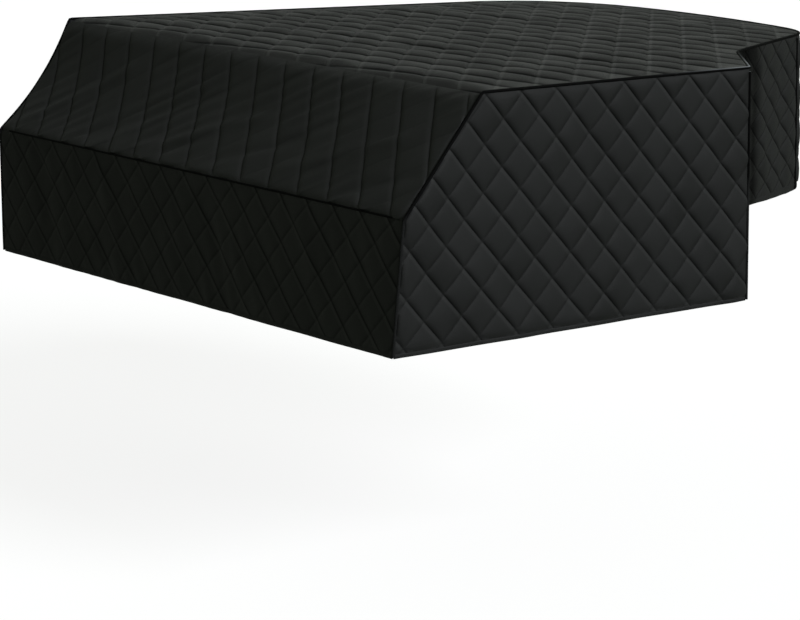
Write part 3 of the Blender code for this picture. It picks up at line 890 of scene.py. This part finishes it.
def make_cord(name, points, radius=CORD_OUTSIDE, swell=0.03, tapered=False):
    seam = Seam(softened(points, CORNER_ROUNDING))
    count = max(int(seam.length / CORD_STEP), 6)
    stations = np.linspace(0.0, seam.length, count)
    data = bpy.data.curves.new(name + "_welt", "CURVE")
    data.dimensions = "3D"
    data.bevel_depth = radius
    data.bevel_resolution = 4
    data.use_fill_caps = True
    spline = data.splines.new("POLY")
    spline.points.add(count - 1)
    for target, station, place in zip(spline.points, stations, seam.at(stations)):
        target.co = (*place, 1.0)
        target.radius = 1 + swell * math.sin(station / 0.011) * math.sin(station / 0.047)
        if tapered:
            from_end = min(station, seam.length - station)
            target.radius *= TIP_SIZE + (1 - TIP_SIZE) * min(from_end / TIP_LENGTH, 1.0)
    drawn = bpy.data.objects.new(name, data)
    tube = bpy.data.meshes.new_from_object(drawn)
    bpy.data.objects.remove(drawn)
    cord = placed(name + "_welt", tube)
    corners = [tube.vertices[loop.vertex_index] for loop in tube.loops]
    spots = np.array([corner.co for corner in corners])
    upward = np.array([corner.normal.z for corner in corners])
    # Some cords turn paler below a given depth under the lid.
    low_down = (-spots[:, 2] - PALER_BELOW[0]) / (PALER_BELOW[1] - PALER_BELOW[0])
    cord_paling = soft_step(low_down) * (name in PALER_LOW_CORDS)
    # A painted highlight on the upward-facing tops of the cords where the treble cheek ends.
    away = np.hypot(spots[:, 0] - HIGHLIGHT_PLACE[0], spots[:, 1] - HIGHLIGHT_PLACE[1]) / HIGHLIGHT_REACH
    painted_highlight = np.exp(-(away**2)) * soft_step((upward - 0.45) / 0.35)
    layer = tube.uv_layers.new(name="Rubbed")
    layer.data.foreach_set("uv", np.stack([cord_paling, painted_highlight], axis=1).astype(np.float32).ravel())
    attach(cord, "root")
    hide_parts(name)
    print(cord.name, round(seam.length, 3), "m")
    return cord


def lifted(point, outward):
    return Vector(point) + Vector(outward).normalized() * CORD_PROUD


rim_seam = Seam([on_lid(x, y) for x, y in rim_plan[:-1]])
clear = Vector((0.0, 0.0, CORD_RADIUS))
rim_points = [
    lifted(Vector(CORNER["treble hem"]) + clear, (1, -1, 0)),
    lifted(CORNER["treble foot"], (1, -1, 0)),
]
for mark, spot in zip(rim_seam.marks, rim_seam.points):
    facing = rim_seam.outward(np.array([mark]))[0]
    rim_points.append(lifted(spot, facing + np.array((0.0, 0.0, 1.0))))
rim_points.append(lifted(CORNER["bass brow"], (-1, 0, 1)))
for share in np.linspace(0.95, 0.05, 19):
    spot = slope_place(np.array([0.0]), np.array([SLOPE_HEIGHT * share]))[0]
    rim_points.append(lifted(spot, (-1, -1, 1)))
rim_points.append(lifted(CORNER["bass foot"], (-1, -1, 0)))
rim_points.append(lifted(Vector(CORNER["bass hem"]) + clear, (-1, -1, 0)))
cord_rim = make_cord("cord_rim", rim_points)

first_end = CORD_STOPS - 0.010
front_points = []
for station in (first_end, WIDTH - first_end):
    spot = mix(CORNER["bass foot"], CORNER["treble foot"], station / WIDTH)
    front_points.append(Vector(spot) + Vector((0.0, -0.0012, 0.0006)))
cord_front = make_cord("cord_front", front_points, FRONT_CORD, tapered=True)


def upright(name, top_end, foot_end, outward):
    top_end, foot_end = Vector(top_end), Vector(foot_end)
    start = top_end.lerp(foot_end, 2.5 * CORD_RADIUS / (top_end - foot_end).length)
    end = foot_end + clear
    middle = start.lerp(end, 0.5)
    return make_cord(name, [lifted(spot, outward) for spot in (start, middle, end)])


cord_cheek_treble, cord_cheek_bass = (
    upright("cord_cheek_" + side, CORNER[side + " cheek"], CORNER[side + " cheek hem"], outward)
    for side, outward in (("treble", (1, 0.4, 0)), ("bass", (-1, 0, 0)))
)
tail_place = skirt_place(TAIL, BENTSIDE.length)
tail_drop = skirt_value(np.array([BENTSIDE.length]), 1)
tail_top, tail_foot = (tail_place(np.zeros(1), level)[0] for level in (np.zeros(1), -tail_drop))
cord_tail = upright("cord_tail", tail_top, tail_foot, (1, 0.5, 0))

# %% [markdown]
# Both finishes show a fine plain weave. It is one node group, so that the cloth and the cord share
# it, each with its own thread size.

# %% Weave the cloth
def new_group(name, inputs, outputs):
    group = bpy.data.node_groups.new(name, "ShaderNodeTree")
    for label, kind, value in inputs:
        socket = group.interface.new_socket(label, in_out="INPUT", socket_type=kind)
        if value is not None:
            socket.default_value = value
    for label, kind in outputs:
        group.interface.new_socket(label, in_out="OUTPUT", socket_type=kind)
    return group, group.nodes.new("NodeGroupInput"), group.nodes.new("NodeGroupOutput")


def math_node(tree, operation, first, second=None):
    node = tree.nodes.new("ShaderNodeMath")
    node.operation = operation
    for socket, value in zip(node.inputs, (first, second)):
        if value is None:
            continue
        if isinstance(value, (int, float)):
            socket.default_value = value
        else:
            tree.links.new(value, socket)
    return node.outputs["Value"]


def product(tree, first, second):
    return math_node(tree, "MULTIPLY", first, second)


def parts_of(tree, vector):
    node = tree.nodes.new("ShaderNodeSeparateXYZ")
    tree.links.new(vector, node.inputs["Vector"])
    return node.outputs


def noise(tree, place, scale, detail, distortion=0.0):
    node = tree.nodes.new("ShaderNodeTexNoise")
    for label, number in (("Scale", scale), ("Detail", detail), ("Distortion", distortion)):
        node.inputs[label].default_value = number
    tree.links.new(place, node.inputs["Vector"])
    return node.outputs["Fac"]


def ranged(tree, value, low, high, to_low, to_high, smooth=True):
    node = tree.nodes.new("ShaderNodeMapRange")
    node.interpolation_type = "SMOOTHSTEP" if smooth else "LINEAR"
    for label, number in (("From Min", low), ("From Max", high), ("To Min", to_low), ("To Max", to_high)):
        node.inputs[label].default_value = number
    tree.links.new(value, node.inputs["Value"])
    return node.outputs["Result"]


weave, weave_in, weave_out = new_group(
    "plain_weave",
    [("Vector", "NodeSocketVector", None), ("Threads per metre", "NodeSocketFloat", 900.0)],
    [("Height", "NodeSocketFloat"), ("Tone", "NodeSocketFloat")],
)
parted = parts_of(weave, weave_in.outputs["Vector"])
threads = []
for side in ("X", "Y"):
    turns = product(weave, parted[side], weave_in.outputs["Threads per metre"])
    threads.append(math_node(weave, "SINE", product(weave, turns, 2 * math.pi)))
crossing = product(weave, *threads)
weave.links.new(ranged(weave, crossing, -1.0, 1.0, 0.0, 1.0), weave_out.inputs["Height"])
streaks = noise(weave, weave_in.outputs["Vector"], 140.0, 3.0)
weave.links.new(ranged(weave, streaks, 0.3, 0.7, 0.85, 1.15), weave_out.inputs["Tone"])


def woven(tree, place, threads_per_metre):
    """The weave in a material, laid out on a place."""
    node = tree.nodes.new("ShaderNodeGroup")
    node.node_tree = weave
    node.inputs["Threads per metre"].default_value = threads_per_metre
    tree.links.new(place, node.inputs["Vector"])
    return node.outputs


print("group", weave.name)

# %% [markdown]
# The seams of the quilting are painted by the running line numbers: where a number is whole, there
# is a stitch line. The line starts a painted shade in the groove that fades out on one side of it,
# the side that the light misses. A painted highlight lies on the edge just before it, and a dashed
# thread runs in it. The same group serves both families of lines, each with its own strengths.

# %% Draw a stitch line
stitches, stitches_in, stitches_out = new_group(
    "stitch_line",
    [
        ("Across", "NodeSocketFloat", 0.0),
        ("Along", "NodeSocketFloat", 0.0),
        ("Dark", "NodeSocketFloat", 1.0),
        ("Light", "NodeSocketFloat", 1.0),
        ("Stitches", "NodeSocketFloat", 21.0),
    ],
    [("Groove shade", "NodeSocketFloat"), ("Edge highlight", "NodeSocketFloat"), ("Thread", "NodeSocketFloat")],
)
away = math_node(stitches, "PINGPONG", stitches_in.outputs["Across"], 0.5)
shifted = math_node(stitches, "ADD", stitches_in.outputs["Across"], 0.5)
side = math_node(stitches, "SUBTRACT", math_node(stitches, "FRACT", shifted), 0.5)
# Painted shade in the groove, fading out on one side of the line.
groove_start = ranged(stitches, side, -0.030, 0.000, 0.0, 1.0)
groove_fade = ranged(stitches, side, 0.010, 0.400, 1.0, 0.0, smooth=False)
groove_shape = product(stitches, groove_start, math_node(stitches, "POWER", groove_fade, 5.0))
groove_strength = product(stitches, groove_shape, stitches_in.outputs["Dark"])
stitches.links.new(math_node(stitches, "MINIMUM", groove_strength, 1.0), stitches_out.inputs["Groove shade"])
# Painted highlight on the edge just before the line.
edge_start = ranged(stitches, side, -0.170, -0.090, 0.0, 1.0)
edge_end = ranged(stitches, side, -0.045, -0.015, 1.0, 0.0)
edge_strength = product(stitches, product(stitches, edge_start, edge_end), stitches_in.outputs["Light"])
stitches.links.new(edge_strength, stitches_out.inputs["Edge highlight"])
in_line = ranged(stitches, away, 0.005, 0.010, 1.0, 0.0)
run = product(stitches, stitches_in.outputs["Along"], stitches_in.outputs["Stitches"])
beat = math_node(stitches, "PINGPONG", math_node(stitches, "FRACT", run), 0.5)
dash = ranged(stitches, beat, 0.10, 0.18, 0.0, 1.0)
stitches.links.new(product(stitches, in_line, dash), stitches_out.inputs["Thread"])
print("group", stitches.name)

# %% [markdown]
# The cloth is a matt charcoal polyester. Its colour is never one flat grey: every diamond differs a
# little and the whole panel is faintly clouded where the filling shifts. Shade is painted into the
# grooves, which are also made less shiny, and a highlight onto the edges beside them. Each panel's
# painted brightness, which stands in for how the light falls on it, and the painted shade and light
# of its places are laid over all of it and scale its shine too.

# %% Finish the quilted cloth
CLOTH_DARK = (0.0085, 0.0087, 0.0090, 1.0)
CLOTH_LIGHT = (0.0155, 0.0158, 0.0162, 1.0)
# Painted shade for the grooves and a painted highlight for the edges beside them.
GROOVE_SHADE_TONE = (0.0014, 0.0014, 0.0015, 1.0)
EDGE_HIGHLIGHT_TONE = (0.0300, 0.0305, 0.0315, 1.0)
THREAD_TONE = (0.0110, 0.0112, 0.0115, 1.0)


def mixed(tree, share, first, second):
    node = tree.nodes.new("ShaderNodeMix")
    node.data_type = "RGBA"
    sockets = [socket for socket in node.inputs if socket.type == "RGBA"]
    tree.links.new(share, node.inputs["Factor"])
    for socket, value in zip(sockets, (first, second)):
        if isinstance(value, tuple):
            socket.default_value = value
        else:
            tree.links.new(value, socket)
    return next(socket for socket in node.outputs if socket.type == "RGBA")


def new_finish(name, roughness, sheen):
    finish = bpy.data.materials.new(name)
    finish.use_nodes = True
    shader = finish.node_tree.nodes["Principled BSDF"]
    shader.inputs["Roughness"].default_value = roughness
    shader.inputs["Specular IOR Level"].default_value = 0.25
    shader.inputs["Sheen Weight"].default_value = sheen
    shader.inputs["Sheen Roughness"].default_value = 0.45
    return finish, finish.node_tree, shader


def uv_of(tree, name):
    node = tree.nodes.new("ShaderNodeUVMap")
    node.uv_map = name
    return node.outputs["UV"]


cloth, cloth_tree, cloth_shader = new_finish("charcoal_quilt", 0.66, 0.03)
cloth_place = uv_of(cloth_tree, "Cloth")
quilt_place = uv_of(cloth_tree, "Quilt")
numbers = parts_of(cloth_tree, quilt_place)
border = parts_of(cloth_tree, uv_of(cloth_tree, "Border"))
painted_panel_light = parts_of(cloth_tree, uv_of(cloth_tree, "Tone"))
strengths = {label: parts_of(cloth_tree, uv_of(cloth_tree, label)) for label in ("Dark", "Light")}

families = []
for across, along in (("X", "Y"), ("Y", "X")):
    node = cloth_tree.nodes.new("ShaderNodeGroup")
    node.node_tree = stitches
    for label, parts in strengths.items():
        cloth_tree.links.new(parts[across], node.inputs[label])
    cloth_tree.links.new(numbers[across], node.inputs["Across"])
    cloth_tree.links.new(numbers[along], node.inputs["Along"])
    families.append(node.outputs)
above_hem = ranged(cloth_tree, border["Y"], -0.0005, 0.0005, 0.0, 1.0)
seams = []
for label in ("Groove shade", "Edge highlight", "Thread"):
    either = math_node(cloth_tree, "MAXIMUM", families[0][label], families[1][label])
    seams.append(product(cloth_tree, either, above_hem))
groove_shade, lit_edge, thread = seams

diamond = cloth_tree.nodes.new("ShaderNodeTexWhiteNoise")
diamond.noise_dimensions = "2D"
whole_numbers = cloth_tree.nodes.new("ShaderNodeVectorMath")
whole_numbers.operation = "FLOOR"
cloth_tree.links.new(quilt_place, whole_numbers.inputs[0])
cloth_tree.links.new(whole_numbers.outputs["Vector"], diamond.inputs["Vector"])
clouds = noise(cloth_tree, cloth_place, 9.0, 4.0)
cloth_weave = woven(cloth_tree, cloth_place, 700.0)

clouded = product(cloth_tree, ranged(cloth_tree, clouds, 0.3, 0.7, 0.0, 0.6), cloth_weave["Tone"])
uneven = math_node(cloth_tree, "ADD", clouded, product(cloth_tree, diamond.outputs["Value"], 0.35))
colour = mixed(cloth_tree, uneven, CLOTH_DARK, CLOTH_LIGHT)
# Painted highlight on the edges and painted shade in the grooves, then the thread's own colour.
for mask, share, paint in ((lit_edge, 0.45, EDGE_HIGHLIGHT_TONE), (groove_shade, 0.85, GROOVE_SHADE_TONE), (thread, 0.5, THREAD_TONE)):
    colour = mixed(cloth_tree, product(cloth_tree, mask, share), colour, paint)
# Each panel's painted brightness and the painted shade and light of its places scale the colour.
with_painted_light = cloth_tree.nodes.new("ShaderNodeVectorMath")
with_painted_light.operation = "SCALE"
cloth_tree.links.new(colour, with_painted_light.inputs[0])
cloth_tree.links.new(product(cloth_tree, painted_panel_light["X"], painted_panel_light["Y"]), with_painted_light.inputs["Scale"])
cloth_tree.links.new(with_painted_light.outputs["Vector"], cloth_shader.inputs["Base Color"])
cloth_tree.links.new(ranged(cloth_tree, clouds, 0.3, 0.7, 0.60, 0.74), cloth_shader.inputs["Roughness"])
# The painted shade in the grooves lowers the shine and the painted highlight raises it.
groove_shade_less_highlight = math_node(cloth_tree, "SUBTRACT", groove_shade, lit_edge)
shine = ranged(cloth_tree, groove_shade_less_highlight, -1.0, 1.0, 0.45, 0.03, smooth=False)
# The painted shade and light of places scale the shine too.
shine = product(cloth_tree, shine, painted_panel_light["Y"])
cloth_tree.links.new(shine, cloth_shader.inputs["Specular IOR Level"])
print("cloth", cloth.name, "with", len(strengths), "strengths for each family of lines")

# %% [markdown]
# Small puckers run away from every seam, because the thread has drawn the cloth in. They, the weave
# and the thread are too fine for the mesh, so they are a bump. The groove's last narrow cut and the
# crest of the edge with the painted highlight are in it too.

# %% Pucker the seams
def bumped(tree, shader, relief, distance, strength=1.0):
    node = tree.nodes.new("ShaderNodeBump")
    node.inputs["Distance"].default_value = distance
    node.inputs["Strength"].default_value = strength
    tree.links.new(relief, node.inputs["Height"])
    tree.links.new(node.outputs["Normal"], shader.inputs["Normal"])


puckers = noise(cloth_tree, cloth_place, 95.0, 2.0, 0.6)
near_border = ranged(cloth_tree, border["X"], 0.002, 0.018, 1.0, 0.15)
near_seam = math_node(cloth_tree, "MAXIMUM", groove_shade, near_border)
relief = product(cloth_tree, puckers, product(cloth_tree, near_seam, 0.9))
for height, share in ((cloth_weave["Height"], 0.12), (thread, 0.35), (groove_shade, -1.3), (lit_edge, 0.4)):
    relief = math_node(cloth_tree, "ADD", relief, product(cloth_tree, height, share))
bumped(cloth_tree, cloth_shader, relief, 0.0011, 0.8)
for panel in (top, slope, front, cheek_treble, cheek_bass, bentside_panel, tail_panel):
    panel.data.materials.append(cloth)
print("cloth", len(cloth_tree.nodes), "nodes")

# %% [markdown]
# The cord's wrapping is cut on the bias from a darker, duller strip. It takes the same weave, read
# from the object's own coordinates, because a thin curve has no flat pattern to follow. Its map
# turns it paler low down and paints a highlight on its top where the treble cheek ends.

# %% Finish the cords
WELT_DARK = (0.0012, 0.0012, 0.0013, 1.0)
WELT_LIGHT = (0.0030, 0.0030, 0.0032, 1.0)
welt, welt_tree, welt_shader = new_finish("black_welt", 0.70, 0.0)
welt_shader.inputs["Specular IOR Level"].default_value = 0.06
welt_place = welt_tree.nodes.new("ShaderNodeTexCoord")
welt_weave = woven(welt_tree, welt_place.outputs["Object"], 900.0)
streaked = math_node(welt_tree, "SUBTRACT", welt_weave["Tone"], 0.5)
cord_paling = parts_of(welt_tree, uv_of(welt_tree, "Rubbed"))
welt_colour = mixed(welt_tree, streaked, WELT_DARK, WELT_LIGHT)
# Paler low down.
welt_colour = mixed(welt_tree, cord_paling["X"], welt_colour, CLOTH_LIGHT)
# The painted highlight on top near the treble cheek's end.
welt_colour = mixed(welt_tree, cord_paling["Y"], welt_colour, HIGHLIGHT_TONE)
welt_tree.links.new(welt_colour, welt_shader.inputs["Base Color"])
bumped(welt_tree, welt_shader, welt_weave["Height"], 0.0003)
for cord in (cord_rim, cord_front, cord_cheek_treble, cord_cheek_bass, cord_tail):
    cord.data.materials.append(welt)
print("cords", welt.name)
